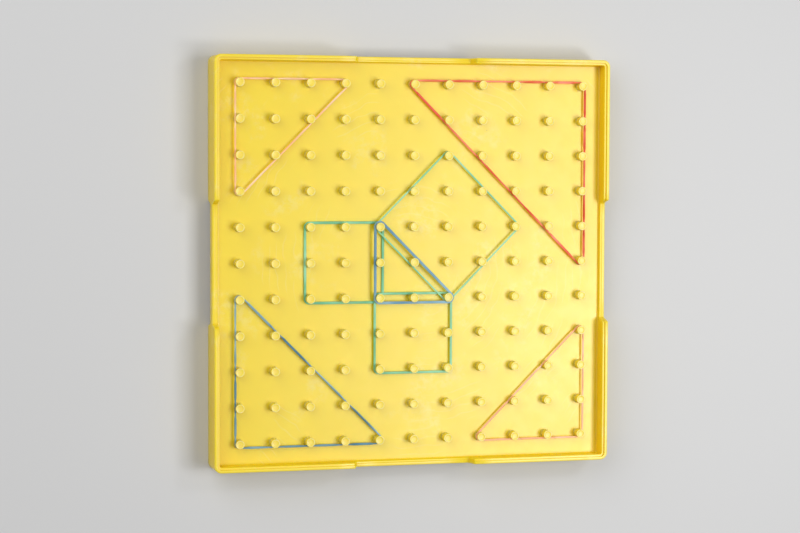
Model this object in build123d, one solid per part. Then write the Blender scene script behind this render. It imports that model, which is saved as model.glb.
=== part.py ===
from build123d import *
import math
import os

# Double-sided geoboard with stretched rubber bands.
# The board lies flat: the square peg grid faces +Z, the circular peg set faces down.
# Origin: centre of the board's footprint, on the surface that its rim stands on.
# "back" is +Y, "right" is +X.  All sizes are millimetres.

# ---- peg grid and board outline -------------------------------------------------
pegs_per_side = 11
peg_pitch = 20.0
edge_margin = 12.0            # outer peg centre to the inside of the rim
wall_thickness = 3.0
corner_radius = 4.0           # outside of the rim, seen from above
board_height = 20.0           # rim, from the surface it stands on to its top
plate_thickness = 2.2         # pegged plate, halfway up the rim

# ---- rim section ----------------------------------------------------------------
ledge_width = 1.3             # inner strip of the rim, set below its edge
ledge_drop = 1.0
low_span = 70.0               # low middle of each side, between the tops of the high walls
ramp_run = 1.8                # how far a high wall's end leans in on its way down
rail_height = 6.6             # low middle of each side

# ---- pegs -----------------------------------------------------------------------
peg_height = 5.4              # above the plate
peg_base_diameter = 4.6
peg_neck_diameter = 4.1
peg_head_diameter = 5.0
peg_head_thickness = 1.2
peg_head_edge = 0.3           # 45 degree bevel round the head
peg_dish_diameter = 3.2       # shallow dish in the head
peg_dish_depth = 0.3          # also the run of its sloping side
reverse_circle_diameter = 180.0
reverse_circle_pegs = 24

# ---- rubber bands ---------------------------------------------------------------
band_thickness = 1.0          # across the band, seen from above
band_height = 0.8
band_clearance = 0.15         # band to peg head, so that a band lifts straight off
stack_gap = 0.2               # between bands that cross
stack_lift = 0.15             # lowest crossing band above the plate

# Corner pegs of each band as (column, row), counted from the back left peg.
free_bands = {
    "band_peach_triangle": [(0, 0), (3, 0), (0, 3)],
    "band_red_triangle": [(5, 0), (10, 0), (10, 5)],
    "band_blue_corner_triangle": [(0, 6), (0, 10), (4, 10)],
    "band_pale_peach_triangle": [(7, 10), (10, 10), (10, 7)],
}
# These four cross one another, listed from the lowest to the highest.
crossing_bands = {
    "band_green_left_square": [(2, 4), (4, 4), (4, 6), (2, 6)],
    "band_green_lower_square": [(4, 6), (6, 6), (6, 8), (4, 8)],
    "band_mint_tilted_square": [(4, 4), (6, 2), (8, 4), (6, 6)],
    "band_blue_middle_triangle": [(4, 4), (4, 6), (6, 6)],
}

# ---- sizes that follow from the ones above --------------------------------------
grid_span = (pegs_per_side - 1) * peg_pitch
inner_size = grid_span + 2 * edge_margin
board_size = inner_size + 2 * wall_thickness
half_board = board_size / 2
lip_width = wall_thickness - ledge_width
inner_corner_radius = corner_radius - wall_thickness
corner_block = 1.5 * corner_radius            # side of each rim corner piece

plate_bottom = (board_height - plate_thickness) / 2
plate_top = plate_bottom + plate_thickness
rail_bottom = (board_height - rail_height) / 2
rail_top = rail_bottom + rail_height
low_half = low_span / 2

neck_length = peg_height - peg_head_thickness
band_inner_offset = peg_head_diameter / 2 + band_clearance
band_outer_offset = band_inner_offset + band_thickness


def peg_centre(column, row):
    """Place of a peg: columns run to the right, rows run to the front."""
    return (column * peg_pitch - grid_span / 2, grid_span / 2 - row * peg_pitch)


def ring_corner(outline_size, outline_radius, opening_size, opening_radius, z_low, z_high):
    """The back right corner of a square ring, between two heights."""
    ring = RectangleRounded(outline_size, outline_size, outline_radius)
    ring -= RectangleRounded(opening_size, opening_size, opening_radius)
    block_centre = half_board - corner_block / 2
    corner = ring & (Pos(block_centre, block_centre) * Rectangle(corner_block, corner_block))
    return Pos(0, 0, z_low) * extrude(corner, z_high - z_low)


def rim_corner():
    """Rounded corner of the rim with its stepped edge, at the back right."""
    lip_opening = board_size - 2 * lip_width
    lip = ring_corner(board_size, corner_radius, lip_opening, corner_radius - lip_width, 0, board_height)
    ledge = ring_corner(lip_opening, corner_radius - lip_width, inner_size, inner_corner_radius,
                        ledge_drop, board_height - ledge_drop)
    return lip + ledge


def wall_strip(outer_y, width, drop):
    """One strip of a high wall on the front side, with its leaning end towards the middle."""
    def end_x(depth):
        return low_half - ramp_run * depth / rail_bottom

    far_x = half_board - corner_block
    side_view = Polygon(
        (far_x, drop), (end_x(drop), drop), (end_x(rail_bottom), rail_bottom),
        (end_x(rail_bottom), rail_top), (end_x(drop), board_height - drop), (far_x, board_height - drop),
        align=None)
    inside_face = Plane(origin=(0, outer_y + width, 0), x_dir=(1, 0, 0), z_dir=(0, -1, 0))
    return extrude(inside_face * side_view, width, dir=(0, -1, 0))


def high_wall():
    """High wall on the front side, right of the middle."""
    lip = wall_strip(-half_board, lip_width, 0)
    ledge = wall_strip(-half_board + lip_width, ledge_width, ledge_drop)
    return lip + ledge


def low_rail():
    """Low middle stretch of the front side."""
    length = 2 * (low_half - ramp_run)
    rail = Box(length, wall_thickness, rail_height, align=(Align.CENTER, Align.MIN, Align.MIN))
    return Pos(0, -half_board, rail_bottom) * rail


def peg():
    """One peg standing on z = 0: tapered neck, rounded head, shallow dish."""
    base_r = peg_base_diameter / 2
    neck_r = peg_neck_diameter / 2
    head_r = peg_head_diameter / 2
    dish_r = peg_dish_diameter / 2
    dish_z = peg_height - peg_dish_depth
    half_section = Polygon(
        (0, 0), (base_r, 0), (neck_r, neck_length), (head_r - peg_head_edge, neck_length),
        (head_r, neck_length + peg_head_edge), (head_r, peg_height - peg_head_edge),
        (head_r - peg_head_edge, peg_height), (dish_r, peg_height),
        (dish_r - peg_dish_depth, dish_z), (0, dish_z),
        align=None)
    return revolve(Plane.XZ * half_section, Axis.Z)


def band(corner_pegs, z_low):
    """A closed band round the outside of its corner pegs."""
    loop = Polygon(*[peg_centre(column, row) for column, row in corner_pegs], align=None)
    outer = offset(loop, band_outer_offset, kind=Kind.ARC)
    inner = offset(loop, band_inner_offset, kind=Kind.ARC)
    return Pos(0, 0, z_low) * extrude(outer - inner, band_height, dir=(0, 0, 1))


def save(name, *solids):
    """Write one node; a group of alike pieces is kept as separate solids."""
    shape = solids[0] if len(solids) == 1 else Compound(children=list(solids))
    export_step(shape, f"parts/{name}.step")


os.makedirs("parts", exist_ok=True)

# Pegged plate
plate_outline = RectangleRounded(inner_size, inner_size, inner_corner_radius)
save("base_plate", Pos(0, 0, plate_bottom) * extrude(plate_outline, plate_thickness))

# Rim: low rails, high walls and corners, each made once and turned round the board
front_rail = low_rail()
front_right_wall = high_wall()
front_left_wall = mirror(front_right_wall, Plane.YZ)
back_right_corner = rim_corner()
sides = [("front", "left", "right"), ("right", "front", "back"),
         ("back", "right", "left"), ("left", "back", "front")]
for turn, (side, first_end, second_end) in enumerate(sides):
    spin = Rot(0, 0, 90 * turn)
    save(f"rim_{side}_low_rail", spin * front_rail)
    save(f"rim_{side}_wall_{first_end}", spin * front_left_wall)
    save(f"rim_{side}_wall_{second_end}", spin * front_right_wall)
for turn, corner in enumerate(["back_right", "back_left", "front_left", "front_right"]):
    save(f"rim_corner_{corner}", Rot(0, 0, 90 * turn) * back_right_corner)

# Square grid of pegs on the top side, one node for each row from the back
one_peg = peg()
for row in range(pegs_per_side):
    row_pegs = []
    for column in range(pegs_per_side):
        x, y = peg_centre(column, row)
        row_pegs.append(Pos(x, y, plate_top) * one_peg)
    save(f"peg_row_{row + 1:02d}", *row_pegs)

# Circle of pegs and its centre peg on the underside
hanging_peg = Pos(0, 0, plate_bottom) * Rot(180, 0, 0) * one_peg
circle_pegs = []
for index in range(reverse_circle_pegs):
    angle = 2 * math.pi * index / reverse_circle_pegs
    x = reverse_circle_diameter / 2 * math.cos(angle)
    y = reverse_circle_diameter / 2 * math.sin(angle)
    circle_pegs.append(Pos(x, y, 0) * hanging_peg)
save("reverse_circle_pegs", *circle_pegs)
save("reverse_centre_peg", hanging_peg)

# Rubber bands
free_band_z = plate_top + (neck_length - band_height) / 2
for name, corner_pegs in free_bands.items():
    save(name, band(corner_pegs, free_band_z))
for level, (name, corner_pegs) in enumerate(crossing_bands.items()):
    save(name, band(corner_pegs, plate_top + stack_lift + level * (band_height + stack_gap)))
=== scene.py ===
"""Looks of a yellow double-sided geoboard with stretched rubber bands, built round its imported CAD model."""
import math

import bmesh
import bpy
from mathutils import Matrix, Vector


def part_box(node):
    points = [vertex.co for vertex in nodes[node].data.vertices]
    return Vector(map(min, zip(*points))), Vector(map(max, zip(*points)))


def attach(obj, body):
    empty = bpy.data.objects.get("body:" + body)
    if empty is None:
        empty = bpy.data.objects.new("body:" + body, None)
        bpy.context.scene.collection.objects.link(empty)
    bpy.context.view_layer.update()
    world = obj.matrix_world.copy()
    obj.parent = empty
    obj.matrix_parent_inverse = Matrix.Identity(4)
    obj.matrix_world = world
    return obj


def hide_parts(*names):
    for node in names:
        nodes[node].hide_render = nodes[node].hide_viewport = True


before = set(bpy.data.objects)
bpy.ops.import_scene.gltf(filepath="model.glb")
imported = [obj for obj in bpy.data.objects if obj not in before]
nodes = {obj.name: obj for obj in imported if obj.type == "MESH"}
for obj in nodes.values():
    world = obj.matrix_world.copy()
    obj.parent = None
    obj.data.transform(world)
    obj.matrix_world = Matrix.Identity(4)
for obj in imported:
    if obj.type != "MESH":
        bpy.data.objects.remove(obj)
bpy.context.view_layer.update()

MM = 0.001

# ---- the board, read from the frame ---------------------------------------------
plate_low, plate_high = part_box("base_plate")
wall_low, wall_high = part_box("rim_front_wall_right")
rail_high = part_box("rim_front_low_rail")[1]
first_row_low, first_row_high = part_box("peg_row_01")
circle_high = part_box("reverse_circle_pegs")[1]

FLOOR_Z = plate_high.z                    # top face of the pegged plate
UNDERSIDE_Z = plate_low.z
MIDDLE_Z = (FLOOR_Z + UNDERSIDE_Z) / 2
HALF_BOARD = -wall_low.y
HALF_INSIDE = plate_high.x
RIM_WIDTH = HALF_BOARD - HALF_INSIDE
WALL_HALF_HEIGHT = wall_high.z - MIDDLE_Z
RAIL_HALF_HEIGHT = rail_high.z - MIDDLE_Z
RAIL_HALF = rail_high.x                   # low stretch in the middle of each side
PEG_HEIGHT = first_row_high.z - FLOOR_Z
PEG_HEAD_RADIUS = (first_row_high.y - first_row_low.y) / 2
PEG_COUNT = 11
PEG_PITCH = (first_row_high.x - first_row_low.x - 2 * PEG_HEAD_RADIUS) / (PEG_COUNT - 1)
GRID_HALF = PEG_PITCH * (PEG_COUNT - 1) / 2
CIRCLE_RADIUS = circle_high.x - PEG_HEAD_RADIUS
CIRCLE_PEGS = 24

# ---- finer sizes of the moulding, in metres -------------------------------------
LIP_WIDTH = 1.7 * MM                      # outer strip of the rim's edge
LEDGE_DROP = 1.0 * MM                     # inner strip, set below it
CORNER_RADIUS = 4.0 * MM
EDGE_RADIUS = 0.35 * MM                   # rounding of the rim's edges
LOW_HALF = RAIL_HALF + 1.8 * MM           # the high walls' ends lean outwards from the low stretch
FLOOR_FILLET = 0.9 * MM                   # where the rim meets the plate
RAMP_BEND = 0.5 * MM                      # how far the bends of a high wall's end are rounded off
CORNER_STEPS = 10

PEG_BASE_RADIUS = 2.3 * MM
PEG_NECK_RADIUS = 1.75 * MM
PEG_HEAD_THICKNESS = 1.2 * MM
PEG_HEAD_EDGE = 0.26 * MM                 # roundings of the head's upper and lower edge
PEG_HEAD_UNDER_EDGE = 0.18 * MM
PEG_THROAT = 0.3 * MM                     # rounding where the neck meets the head
PEG_DISH_RADIUS = 2.0 * MM
PEG_DISH_DEPTH = 0.22 * MM
PEG_FOOT_FILLET = 0.45 * MM
PEG_SUNK = 0.3 * MM                       # how far a peg's foot reaches into the plate
PEG_SIDES = 24

BAND_THICKNESS = 0.8 * MM
BAND_STEP = 0.7 * MM                      # between sections along a straight run
BAND_TURN_STEP = 0.35 * MM                # and round a peg


# =================================================================================
# Camera, lights and floor
# =================================================================================
def add_camera():
    """A long lens, high over the board and to its left, that looks down across it."""
    eye = Vector((-0.3311, 0.0581, 1.1608))
    aim = Vector((-0.0088, -0.0022, first_row_high.z))
    roll = math.radians(0.21)
    forward = (aim - eye).normalized()
    right = forward.cross(Vector((0, 1, 0))).normalized()
    up = right.cross(forward)
    turn = Matrix((right, up, -forward)).transposed().to_4x4()
    data = bpy.data.cameras.new("camera")
    data.lens = 95.4
    data.sensor_width = 36.0
    data.clip_start = 0.05
    camera = bpy.data.objects.new("camera", data)
    camera.matrix_world = Matrix.Translation(eye) @ turn @ Matrix.Rotation(roll, 4, "Z")
    bpy.context.scene.collection.objects.link(camera)
    bpy.context.scene.camera = camera


def add_softbox(name, place, target, size, power):
    """A white rectangular light at a place, turned to a target."""
    data = bpy.data.lights.new(name, "AREA")
    data.shape = "RECTANGLE"
    data.size, data.size_y = size
    data.energy = power
    lamp = bpy.data.objects.new(name, data)
    lamp.location = Vector(place)
    lamp.rotation_euler = (Vector(target) - Vector(place)).to_track_quat("-Z", "Y").to_euler()
    bpy.context.scene.collection.objects.link(lamp)


def add_lights():
    """Two small keys from the right, a wide fill from the back left, a softbox mirrored in the plate."""
    add_softbox("key_front", (0.36, -0.12, 0.56), (-0.03, -0.03, 0), (0.12, 0.12), 0.66)
    add_softbox("key_back", (0.35, 0.20, 0.53), (0, 0, 0), (0.11, 0.11), 0.43)
    add_softbox("fill_behind", (-0.64, 0.44, 0.76), (-0.04, 0, 0), (1.1, 0.9), 5.6)
    add_softbox("sheen", (0.50, -0.11, 1.15), (0, 0, 0), (0.62, 0.42), 5.8)
    world = bpy.data.worlds.new("studio")
    world.use_nodes = True
    background = world.node_tree.nodes["Background"]
    background.inputs["Color"].default_value = (1.0, 1.0, 1.0, 1.0)
    background.inputs["Strength"].default_value = 0.255
    bpy.context.scene.world = world
    bpy.context.scene.view_settings.view_transform = "Standard"


def add_floor():
    """A plain sheet of pale paper."""
    half = 3.0                                # metres
    mesh = bpy.data.meshes.new("floor")
    corners = [(-half, -half, 0), (half, -half, 0), (half, half, 0), (-half, half, 0)]
    mesh.from_pydata(corners, [], [(0, 1, 2, 3)])
    floor = bpy.data.objects.new("floor", mesh)
    bpy.context.scene.collection.objects.link(floor)
    material = bpy.data.materials.new("floor_paper")
    material.use_nodes = True
    shader = material.node_tree.nodes["Principled BSDF"]
    shader.inputs["Base Color"].default_value = (0.64, 0.64, 0.64, 1)
    shader.inputs["Roughness"].default_value = 0.9
    mesh.materials.append(material)


# =================================================================================
# Mesh helpers
# =================================================================================
def object_from(name, vertices, faces):
    """A smooth-shaded mesh object from its corners and faces."""
    mesh = bpy.data.meshes.new(name)
    mesh.from_pydata([tuple(v) for v in vertices], [], faces)
    mesh.validate()
    for polygon in mesh.polygons:
        polygon.use_smooth = True
    piece = bpy.data.objects.new(name, mesh)
    bpy.context.scene.collection.objects.link(piece)
    return piece


def arc_points(centre, radius, start_deg, end_deg, steps):
    """Points of an arc in a section plane."""
    points = []
    for i in range(steps + 1):
        angle = math.radians(start_deg + (end_deg - start_deg) * i / steps)
        points.append((centre[0] + radius * math.cos(angle), centre[1] + radius * math.sin(angle)))
    return points


def smooth_by_angle(piece, degrees):
    """Sharp edges stay sharp, round stretches shade smoothly."""
    mesh = piece.data
    work = bmesh.new()
    work.from_mesh(mesh)
    bmesh.ops.recalc_face_normals(work, faces=work.faces)
    limit = math.radians(degrees)
    for edge in work.edges:
        edge.smooth = len(edge.link_faces) == 2 and edge.calc_face_angle(0) < limit
    work.to_mesh(mesh)
    work.free()


# =================================================================================
# Board: rim and plate as one closed skin
# =================================================================================
def rim_section(half_height):
    """Upper half of the rim's section as (inset from the outline, height above the middle).

    It starts on the outside at the middle's height, and ends on the plate inside."""
    # On the low rails the inner strip is flush with the outer one.
    share = (half_height - RAIL_HALF_HEIGHT) / (WALL_HALF_HEIGHT - RAIL_HALF_HEIGHT)
    drop = LEDGE_DROP * share
    ledge = half_height - drop
    step_r = min(EDGE_RADIUS * 0.6, max(drop * 0.45, 0.02 * MM))
    plate = FLOOR_Z - MIDDLE_Z
    points = [(0.0, 0.0), (0.0, half_height * 0.5)]
    points += arc_points((EDGE_RADIUS, half_height - EDGE_RADIUS), EDGE_RADIUS, 180, 90, 4)
    points += arc_points((LIP_WIDTH - step_r, half_height - step_r), step_r, 90, 0, 3)
    points += [(LIP_WIDTH + 0.03 * MM, ledge)]
    points += arc_points((RIM_WIDTH - EDGE_RADIUS, ledge - EDGE_RADIUS), EDGE_RADIUS, 90, 0, 4)
    points += arc_points((RIM_WIDTH + FLOOR_FILLET, plate + FLOOR_FILLET), FLOOR_FILLET, 180, 270, 5)
    return points


def half_height_at(along):
    """Half the rim's height, for a place along a side counted from the side's middle."""
    distance = abs(along)
    if distance >= LOW_HALF:
        return WALL_HALF_HEIGHT
    if distance <= RAIL_HALF:
        return RAIL_HALF_HEIGHT
    share = (distance - RAIL_HALF) / (LOW_HALF - RAIL_HALF)
    return RAIL_HALF_HEIGHT + share * (WALL_HALF_HEIGHT - RAIL_HALF_HEIGHT)


def eased_height(along):
    """half_height_at, with the ramp's two bends rounded off."""
    samples = [half_height_at(along + RAMP_BEND * k / 4) for k in range(-4, 5)]
    return sum(samples) / len(samples)


def outline_stations():
    """Places round the outline: (centre of turn, outward direction, half height)."""
    side_reach = HALF_BOARD - CORNER_RADIUS
    bend = [-0.6 * MM, -0.2 * MM, 0.0, 0.2 * MM, 0.6 * MM]
    ramp = [end + offset for end in (RAIL_HALF, LOW_HALF) for offset in bend]
    plain = [0.0, 10 * MM, 20 * MM, 45 * MM, 60 * MM, 75 * MM, 90 * MM, 104 * MM]
    marks = sorted(set([-m for m in ramp + plain] + ramp + plain))
    stations = []
    for side in range(4):
        turn = Matrix.Rotation(math.radians(90 * side), 3, "Z")
        outward = turn @ Vector((0, -1, 0))
        for along in marks:
            place = turn @ Vector((along, -side_reach, 0))
            stations.append((place, outward, eased_height(along)))
        corner = turn @ Vector((side_reach, -side_reach, 0))
        for i in range(CORNER_STEPS + 1):
            angle = math.radians(90 * side - 90 + 90 * i / CORNER_STEPS)
            stations.append((corner, Vector((math.cos(angle), math.sin(angle), 0)), WALL_HALF_HEIGHT))
    return stations


def make_board_shell():
    """The rim's section carried round the outline, closed by the two faces of the plate."""
    vertices = []
    rings = []
    for place, outward, half_height in outline_stations():
        upper = rim_section(half_height)
        section = upper + [(inset, -height) for inset, height in reversed(upper[1:])]
        ring = []
        for inset, height in section:
            point = place + outward * (CORNER_RADIUS - inset)
            ring.append(len(vertices))
            vertices.append((point.x, point.y, MIDDLE_Z + height))
        rings.append(ring)
    plate_top_index = len(rim_section(WALL_HALF_HEIGHT)) - 1
    faces = []
    for ring, next_ring in zip(rings, rings[1:] + rings[:1]):
        for k in range(len(ring)):
            if k == plate_top_index:
                continue                       # between the plate's two faces there is no wall
            n = (k + 1) % len(ring)
            faces.append((ring[k], next_ring[k], next_ring[n], ring[n]))
    faces.append([ring[plate_top_index] for ring in rings])
    faces.append([ring[plate_top_index + 1] for ring in reversed(rings)])
    shell = object_from("board_shell", vertices, faces)
    smooth_by_angle(shell, 34)
    for plate_face in list(shell.data.polygons)[-2:]:
        plate_face.use_smooth = False          # the plate's faces are true planes
    return shell


# =================================================================================
# Pegs
# =================================================================================
def peg_profile():
    """Half section of one peg as (radius, height above the plate), from its sunk foot to its dish."""
    neck_top = PEG_HEIGHT - PEG_HEAD_THICKNESS
    foot_r = PEG_BASE_RADIUS + PEG_FOOT_FILLET
    edge, under = PEG_HEAD_EDGE, PEG_HEAD_UNDER_EDGE
    points = [(0.0, -PEG_SUNK), (foot_r, -PEG_SUNK)]
    points += arc_points((foot_r, PEG_FOOT_FILLET), PEG_FOOT_FILLET, 270, 180, 4)
    points += arc_points((PEG_NECK_RADIUS + PEG_THROAT, neck_top - PEG_THROAT), PEG_THROAT, 180, 100, 3)
    points += arc_points((PEG_HEAD_RADIUS - under, neck_top + under), under, 270, 360, 3)
    points += arc_points((PEG_HEAD_RADIUS - edge, PEG_HEIGHT - edge), edge, 0, 90, 4)
    # A rounded ring stands round a shallow, nearly flat dish.
    for radius_share, depth_share in ((1.0, 0.10), (0.90, 0.55), (0.80, 0.85), (0.45, 0.96), (0.0, 1.0)):
        points.append((PEG_DISH_RADIUS * radius_share, PEG_HEIGHT - PEG_DISH_DEPTH * depth_share))
    return points


def make_peg(name, upright=True):
    """One peg on the axis, standing on z = 0 or hanging from it."""
    profile = peg_profile()
    direction = 1 if upright else -1
    vertices = [(0, 0, profile[0][1] * direction)]
    for radius, height in profile[1:-1]:
        for k in range(PEG_SIDES):
            angle = 2 * math.pi * k / PEG_SIDES
            vertices.append((radius * math.cos(angle), radius * math.sin(angle), height * direction))
    vertices.append((0, 0, profile[-1][1] * direction))
    last = len(vertices) - 1
    faces = []
    for k in range(PEG_SIDES):
        n = (k + 1) % PEG_SIDES
        faces.append((0, 1 + n, 1 + k))
        for level in range(len(profile) - 3):
            a, b = 1 + level * PEG_SIDES, 1 + (level + 1) * PEG_SIDES
            faces.append((a + k, a + n, b + n, b + k))
        top = 1 + (len(profile) - 3) * PEG_SIDES
        faces.append((top + k, top + n, last))
    peg = object_from(name, vertices, faces)
    smooth_by_angle(peg, 50)
    return peg


def new_tree(name, inputs):
    """A geometry node tree with named inputs and one geometry output."""
    tree = bpy.data.node_groups.new(name, "GeometryNodeTree")
    for label, kind in inputs:
        tree.interface.new_socket(name=label, in_out="INPUT", socket_type=kind)
    tree.interface.new_socket(name="Geometry", in_out="OUTPUT", socket_type="NodeSocketGeometry")
    return tree, tree.nodes.new("NodeGroupInput"), tree.nodes.new("NodeGroupOutput")


def finish_tree(tree, source, given, result, place_z):
    """Lifts the instances to their height, makes them real and gives them the material."""
    lift = tree.nodes.new("ShaderNodeCombineXYZ")
    tree.links.new(place_z, lift.inputs["Z"])
    move = tree.nodes.new("GeometryNodeTransform")
    tree.links.new(source, move.inputs["Geometry"])
    tree.links.new(lift.outputs["Vector"], move.inputs["Translation"])
    real = tree.nodes.new("GeometryNodeRealizeInstances")
    tree.links.new(move.outputs["Geometry"], real.inputs["Geometry"])
    paint = tree.nodes.new("GeometryNodeSetMaterial")
    tree.links.new(real.outputs["Geometry"], paint.inputs["Geometry"])
    tree.links.new(given.outputs["Material"], paint.inputs["Material"])
    tree.links.new(paint.outputs["Geometry"], result.inputs["Geometry"])


def peg_grid_tree():
    """One peg repeated over a square grid."""
    tree, given, result = new_tree("peg_grid", [
        ("Peg", "NodeSocketGeometry"), ("Pegs per side", "NodeSocketInt"), ("Span", "NodeSocketFloat"),
        ("Plate height", "NodeSocketFloat"), ("Material", "NodeSocketMaterial")])
    grid = tree.nodes.new("GeometryNodeMeshGrid")
    for socket in ("Size X", "Size Y"):
        tree.links.new(given.outputs["Span"], grid.inputs[socket])
    for socket in ("Vertices X", "Vertices Y"):
        tree.links.new(given.outputs["Pegs per side"], grid.inputs[socket])
    repeat = tree.nodes.new("GeometryNodeInstanceOnPoints")
    tree.links.new(grid.outputs["Mesh"], repeat.inputs["Points"])
    tree.links.new(given.outputs["Peg"], repeat.inputs["Instance"])
    finish_tree(tree, repeat.outputs["Instances"], given, result, given.outputs["Plate height"])
    return tree


def peg_circle_tree():
    """One peg repeated round a circle, and once more in its centre."""
    tree, given, result = new_tree("peg_circle", [
        ("Peg", "NodeSocketGeometry"), ("Pegs", "NodeSocketInt"), ("Radius", "NodeSocketFloat"),
        ("Plate height", "NodeSocketFloat"), ("Material", "NodeSocketMaterial")])
    circle = tree.nodes.new("GeometryNodeMeshCircle")
    tree.links.new(given.outputs["Pegs"], circle.inputs["Vertices"])
    tree.links.new(given.outputs["Radius"], circle.inputs["Radius"])
    repeat = tree.nodes.new("GeometryNodeInstanceOnPoints")
    tree.links.new(circle.outputs["Mesh"], repeat.inputs["Points"])
    tree.links.new(given.outputs["Peg"], repeat.inputs["Instance"])
    both = tree.nodes.new("GeometryNodeJoinGeometry")
    tree.links.new(given.outputs["Peg"], both.inputs["Geometry"])
    tree.links.new(repeat.outputs["Instances"], both.inputs["Geometry"])
    finish_tree(tree, both.outputs["Geometry"], given, result, given.outputs["Plate height"])
    return tree


def grow(seed, tree, name, values):
    """Runs a tree on a seed object and keeps the result as a plain mesh piece."""
    modifier = seed.modifiers.new("grow", "NODES")
    modifier.node_group = tree
    sockets = {item.name: item.identifier for item in tree.interface.items_tree if item.in_out == "INPUT"}
    for label, value in values.items():
        modifier[sockets[label]] = value
    graph = bpy.context.evaluated_depsgraph_get()
    mesh = bpy.data.meshes.new_from_object(seed.evaluated_get(graph), depsgraph=graph)
    mesh.name = name
    bpy.data.objects.remove(seed)
    piece = bpy.data.objects.new(name, mesh)
    bpy.context.scene.collection.objects.link(piece)
    return piece


def make_grid_pegs(material):
    return grow(make_peg("grid_peg"), peg_grid_tree(), "grid_pegs", {
        "Pegs per side": PEG_COUNT, "Span": 2 * GRID_HALF, "Plate height": FLOOR_Z, "Material": material})


def make_underside_pegs(material):
    return grow(make_peg("hanging_peg", upright=False), peg_circle_tree(), "underside_pegs", {
        "Pegs": CIRCLE_PEGS, "Radius": CIRCLE_RADIUS, "Plate height": UNDERSIDE_Z, "Material": material})


# =================================================================================
# Rubber bands
# =================================================================================
STANDING = 0.0                            # wide face against the pegs
FLAT = math.pi / 2                        # wide face up


def peg_place(column, row):
    """The axis of a peg, counted from the back left corner."""
    return Vector((column * PEG_PITCH - GRID_HALF, GRID_HALF - row * PEG_PITCH, 0))


def band_path(corners, offset):
    """Points round the outside of the corner pegs: (place, outward direction), evenly close."""
    pegs = [peg_place(*corner) for corner in corners]
    area = sum(a.x * b.y - b.x * a.y for a, b in zip(pegs, pegs[1:] + pegs[:1]))
    if area < 0:
        pegs.reverse()
    count = len(pegs)
    normals = []
    for i in range(count):
        run = (pegs[(i + 1) % count] - pegs[i]).normalized()
        normals.append(Vector((run.y, -run.x, 0)))
    points = []
    for i in range(count):
        before, after = normals[i - 1], normals[i]
        sweep = before.angle(after)
        arc_steps = max(6, int(sweep * offset / BAND_TURN_STEP))
        for k in range(arc_steps):
            outward = Matrix.Rotation(sweep * k / arc_steps, 3, "Z") @ before
            points.append((pegs[i] + outward * offset, outward))
        run = pegs[(i + 1) % count] - pegs[i]
        run_steps = int(run.length / BAND_STEP)
        for k in range(run_steps):
            points.append((pegs[i] + run * (k / run_steps) + after * offset, after))
    return points


def closeness_to_peg(place):
    """1 where a band touches a peg, fading to 0 between the pegs."""
    hugging, free = 3.2 * MM, 7.2 * MM
    column = round((place.x + GRID_HALF) / PEG_PITCH)
    row = round((GRID_HALF - place.y) / PEG_PITCH)
    share = ((place - peg_place(column, row)).length - hugging) / (free - hugging)
    share = min(max(share, 0.0), 1.0)
    return 1 - share * share * (3 - 2 * share)


def band_section(width, thickness):
    """A flat section with softened corners, as (across the width, across the thickness)."""
    w, t = width / 2, thickness / 2
    soft = 0.35 * t
    quarter = [(w, 0), (w, t - soft), (w - 0.3 * soft, t - 0.3 * soft), (w - soft, t), (0.3 * w, t)]
    half = quarter + [(-x, y) for x, y in reversed(quarter)]
    return half + [(-x, -y) for x, y in half[1:-1]]


def make_band(name, corners, height, width, grip, lies, lean, turns, seed):
    """A stretched band. Away from the pegs its section turns slowly about the path."""
    path = band_path(corners, PEG_NECK_RADIUS + grip)
    section = band_section(width, BAND_THICKNESS)
    count = len(path)
    up = Vector((0, 0, 1))
    vertices = []
    for i, (place, outward) in enumerate(path):
        share = 2 * math.pi * i / count
        wave = math.sin(3 * share + seed) * 0.6 + math.sin(7 * share + 2.3 * seed) * 0.4
        angle = lies + (lean + turns * wave) * (1 - closeness_to_peg(place))
        rise = 0.06 * MM * math.sin(2 * share + 1.7 * seed)
        across = up * math.cos(angle) + outward * math.sin(angle)
        through = outward * math.cos(angle) - up * math.sin(angle)
        thin = 1 + 0.05 * math.sin(5 * share + seed)
        centre = place + up * (height + rise)
        for x, y in section:
            vertices.append(centre + across * (x * thin) + through * (y / thin))
    size = len(section)
    faces = []
    for i in range(count):
        a, b = i * size, ((i + 1) % count) * size
        for k in range(size):
            n = (k + 1) % size
            faces.append((a + k, b + k, b + n, a + n))
    band = object_from(name, vertices, faces)
    smooth_by_angle(band, 40)
    add_band_uv(band, size, path)
    return band


def add_band_uv(band, size, path):
    """U runs along the band in metres, V runs once round its section."""
    lengths = [0.0]
    for (a, _), (b, _) in zip(path, path[1:] + path[:1]):
        lengths.append(lengths[-1] + (b - a).length)
    layer = band.data.uv_layers.new(name="along_band")
    for polygon in band.data.polygons:
        rings = [band.data.loops[i].vertex_index // size for i in polygon.loop_indices]
        closes = max(rings) - min(rings) > 1
        sides = [band.data.loops[i].vertex_index % size for i in polygon.loop_indices]
        wraps = max(sides) - min(sides) > 1
        for loop_index, ring, side in zip(polygon.loop_indices, rings, sides):
            u = lengths[-1] if closes and ring == 0 else lengths[ring]
            v = 1.0 if wraps and side == 0 else side / size
            layer.data[loop_index].uv = (u, v)


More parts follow.
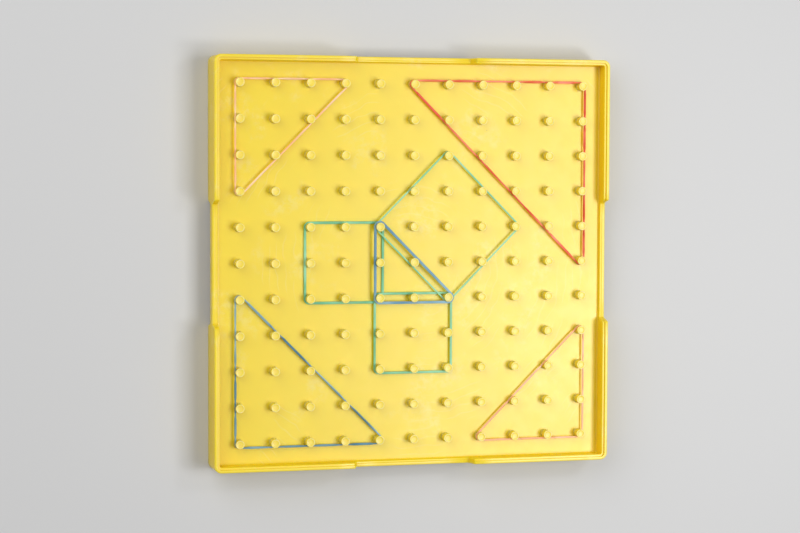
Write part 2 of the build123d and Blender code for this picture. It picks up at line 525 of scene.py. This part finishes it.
# =================================================================================
# Materials
# =================================================================================
class Shader:
    """Small helper that adds nodes to a material and links them."""

    def __init__(self, name):
        self.material = bpy.data.materials.new(name)
        self.material.use_nodes = True
        self.tree = self.material.node_tree
        self.main = self.tree.nodes["Principled BSDF"]
        self.coords = self.tree.nodes.new("ShaderNodeTexCoord")

    def add(self, kind, settings=None, **inputs):
        node = self.tree.nodes.new(kind)
        for label, value in (settings or {}).items():
            setattr(node, label, value)
        for label, value in inputs.items():
            self.feed(node.inputs[label.replace("_", " ")], value)
        return node

    def feed(self, socket, value):
        if isinstance(value, bpy.types.NodeSocket):
            self.tree.links.new(value, socket)
        else:
            socket.default_value = value

    def noise(self, scale, detail, roughness, vector=None):
        node = self.add("ShaderNodeTexNoise", Scale=scale, Detail=detail, Roughness=roughness)
        self.feed(node.inputs["Vector"], vector or self.coords.outputs["Object"])
        return node.outputs["Fac"]

    def ramp(self, value, low, high, out_low=0.0, out_high=1.0):
        node = self.add("ShaderNodeMapRange", {"interpolation_type": "SMOOTHSTEP"})
        limits = {"From Min": low, "From Max": high, "To Min": out_low, "To Max": out_high}
        for label, number in limits.items():
            node.inputs[label].default_value = number
        self.feed(node.inputs["Value"], value)
        return node.outputs["Result"]

    def mix(self, factor, first, second):
        node = self.add("ShaderNodeMix", {"data_type": "RGBA"})
        self.feed(node.inputs[0], factor)
        self.feed(node.inputs[6], first)
        self.feed(node.inputs[7], second)
        return node.outputs[2]

    def times(self, first, second):
        node = self.add("ShaderNodeMath", {"operation": "MULTIPLY"})
        self.feed(node.inputs[0], first)
        self.feed(node.inputs[1], second)
        return node.outputs[0]

    def bump(self, height, strength, distance, normal=None):
        node = self.add("ShaderNodeBump", Strength=strength, Distance=distance)
        self.feed(node.inputs["Height"], height)
        if normal is not None:
            self.feed(node.inputs["Normal"], normal)
        return node.outputs["Normal"]

    def out(self, **inputs):
        for label, value in inputs.items():
            self.feed(self.main.inputs[label.replace("_", " ")], value)
        return self.material


def yellow_plastic(name, highlight_above=None):
    """Satin moulded plastic, faintly mottled, with pale rub marks and a few specks.

    On the pegs, the raised ring round the dish is painted much paler as a painted highlight, and the rest of
    each peg is painted a little paler."""
    s = Shader(name)
    body = (0.92, 0.68, 0.010, 1)
    deep = (0.905, 0.66, 0.007, 1)
    # Pale colour for real rub marks on the plastic, and also for the painted highlight on the pegs' ring.
    pale_rub_and_highlight = (0.945, 0.775, 0.27, 1)
    speck = (0.35, 0.27, 0.06, 1)
    cloud = s.ramp(s.noise(18, 4, 0.55), 0.35, 0.7)
    colour = s.mix(cloud, deep, body)
    smudge_place = s.ramp(s.noise(42, 3, 0.5), 0.54, 0.68)
    smudge_grain = s.ramp(s.noise(230, 4, 0.65), 0.40, 0.66)
    smudge = s.times(smudge_place, smudge_grain)
    colour = s.mix(s.times(smudge, 0.38), colour, pale_rub_and_highlight)
    sweep = s.add("ShaderNodeTexWave", {"wave_type": "RINGS", "rings_direction": "Z"}, Scale=70.0,
                  Distortion=9.0, Detail=2.0, Detail_Scale=0.6)
    s.feed(sweep.inputs["Vector"], s.coords.outputs["Object"])
    stroke = s.ramp(sweep.outputs["Fac"], 0.90, 1.0)
    stroke_place = s.ramp(s.noise(33, 2, 0.5), 0.56, 0.66)
    colour = s.mix(s.times(s.times(stroke, stroke_place), 0.22), colour, pale_rub_and_highlight)
    dots = s.add("ShaderNodeTexVoronoi", {"feature": "F1"}, Scale=90.0, Randomness=1.0)
    s.feed(dots.inputs["Vector"], s.coords.outputs["Object"])
    dot = s.ramp(dots.outputs["Distance"], 0.018, 0.032, 1.0, 0.0)
    few = s.ramp(s.noise(40, 1, 0.5), 0.62, 0.66)
    colour = s.mix(s.times(s.times(dot, few), 0.6), colour, speck)
    rough = s.ramp(s.noise(130, 4, 0.6), 0.3, 0.7, 0.345, 0.385)
    if highlight_above is not None:
        # Painted highlight: near the top of each peg, above the given height, the colour is painted much
        # paler; below that height it is painted a little paler.
        place = s.add("ShaderNodeSeparateXYZ")
        s.feed(place.inputs["Vector"], s.coords.outputs["Object"])
        ring_highlight = s.ramp(place.outputs["Z"], highlight_above, highlight_above + 0.12 * MM, 0.25, 0.9)
        colour = s.mix(s.times(ring_highlight, s.ramp(s.noise(300, 3, 0.6), 0.25, 0.6, 0.6, 1.0)), colour, pale_rub_and_highlight)
    grain = s.bump(s.noise(2600, 2, 0.5), 0.06, 0.04 * MM)
    normal = s.bump(s.noise(60, 2, 0.5), 0.04, 0.4 * MM, grain)
    return s.out(Base_Color=colour, Roughness=rough, Normal=normal, IOR=1.5, Specular_IOR_Level=0.7,
                 Subsurface_Weight=0.55, Subsurface_Scale=4 * MM, Subsurface_Radius=(1.0, 0.85, 0.08))


def rubber(name, base, stretched):
    """Matt rubber, paler where it is stretched thin, with fine lines along its length."""
    s = Shader(name)
    along = s.add("ShaderNodeUVMap", {"uv_map": "along_band"}).outputs["UV"]
    streak_scale = s.add("ShaderNodeMapping")
    s.feed(streak_scale.inputs["Vector"], along)
    streak_scale.inputs["Scale"].default_value = (60, 6, 1)
    streaks = s.noise(4, 3, 0.6, streak_scale.outputs["Vector"])
    patches = s.ramp(s.noise(45, 2, 0.5), 0.35, 0.68)
    colour = s.mix(patches, base, stretched)
    dark = tuple(c * 0.82 for c in base[:3]) + (1,)
    colour = s.mix(s.times(s.ramp(streaks, 0.5, 0.8), 0.35), colour, dark)
    normal = s.bump(streaks, 0.25, 0.06 * MM)
    return s.out(Base_Color=colour, Roughness=0.5, Normal=normal)


# =================================================================================
# Build
# =================================================================================
add_camera()
add_lights()
add_floor()

plastic = yellow_plastic("yellow_plastic")
# Plastic for the pegs, with a painted highlight on the raised ring of each head.
peg_plastic = yellow_plastic("yellow_plastic_pegs_painted_highlight", first_row_high.z - 0.14 * MM)

shell = make_board_shell()
shell.data.materials.append(plastic)
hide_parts("base_plate", *[name for name in nodes if name.startswith("rim_")])
grid_pegs = make_grid_pegs(peg_plastic)
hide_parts(*[name for name in nodes if name.startswith("peg_row_")])
underside_pegs = make_underside_pegs(plastic)
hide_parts("reverse_circle_pegs", "reverse_centre_peg")
for piece in (shell, grid_pegs, underside_pegs):
    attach(piece, "board")

RUBBERS = {
    "peach_rubber": rubber("peach_rubber", (1.0, 0.55, 0.28, 1), (1.0, 0.72, 0.46, 1)),
    "pale_peach_rubber": rubber("pale_peach_rubber", (1.0, 0.50, 0.28, 1), (1.0, 0.62, 0.42, 1)),
    "red_rubber": rubber("red_rubber", (0.80, 0.085, 0.035, 1), (1.0, 0.26, 0.15, 1)),
    "green_rubber": rubber("green_rubber", (0.14, 0.50, 0.27, 1), (0.30, 0.68, 0.42, 1)),
    "mint_rubber": rubber("mint_rubber", (0.23, 0.61, 0.33, 1), (0.37, 0.72, 0.43, 1)),
    "blue_rubber": rubber("blue_rubber", (0.08, 0.24, 0.37, 1), (0.25, 0.45, 0.55, 1)),
}

# Corner pegs as (column, row), finish, width, distance of its middle from the pegs' necks, how it lies
# at a peg, how far it leans between pegs, how much that varies, seed.
BANDS = {
    "band_peach_triangle": (
        [(0, 0), (3, 0), (0, 3)], "peach_rubber", 1.0 * MM, 0.41 * MM, STANDING, 0.9, 0.5, 1.0),
    "band_red_triangle": (
        [(5, 0), (10, 0), (10, 5)], "red_rubber", 1.30 * MM, 0.41 * MM, STANDING, 0.8, 0.9, 2.0),
    "band_blue_corner_triangle": (
        [(0, 6), (0, 10), (4, 10)], "blue_rubber", 1.2 * MM, 0.41 * MM, STANDING, 0.8, 0.6, 3.0),
    "band_pale_peach_triangle": (
        [(7, 10), (10, 10), (10, 7)], "pale_peach_rubber", 0.95 * MM, 0.41 * MM, STANDING, 0.8, 0.6, 4.0),
    "band_green_left_square": (
        [(2, 4), (4, 4), (4, 6), (2, 6)], "green_rubber", 1.35 * MM, 0.68 * MM, FLAT, 0.0, 0.65, 5.0),
    "band_green_lower_square": (
        [(4, 6), (6, 6), (6, 8), (4, 8)], "green_rubber", 1.25 * MM, 0.65 * MM, FLAT, 0.0, 0.60, 6.0),
    "band_mint_tilted_square": (
        [(4, 4), (6, 2), (8, 4), (6, 6)], "mint_rubber", 0.9 * MM, 0.47 * MM, FLAT, 0.0, 0.35, 7.0),
    "band_blue_middle_triangle": (
        [(4, 4), (4, 6), (6, 6)], "blue_rubber", 1.45 * MM, 0.95 * MM, FLAT, 0.0, 0.30, 8.0),
}

for name, (corners, finish, *lay) in BANDS.items():
    low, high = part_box(name)
    band = make_band(name.replace("band_", "rubber_"), corners, (low.z + high.z) / 2, *lay)
    band.data.materials.append(RUBBERS[finish])
    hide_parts(name)
    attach(band, name)
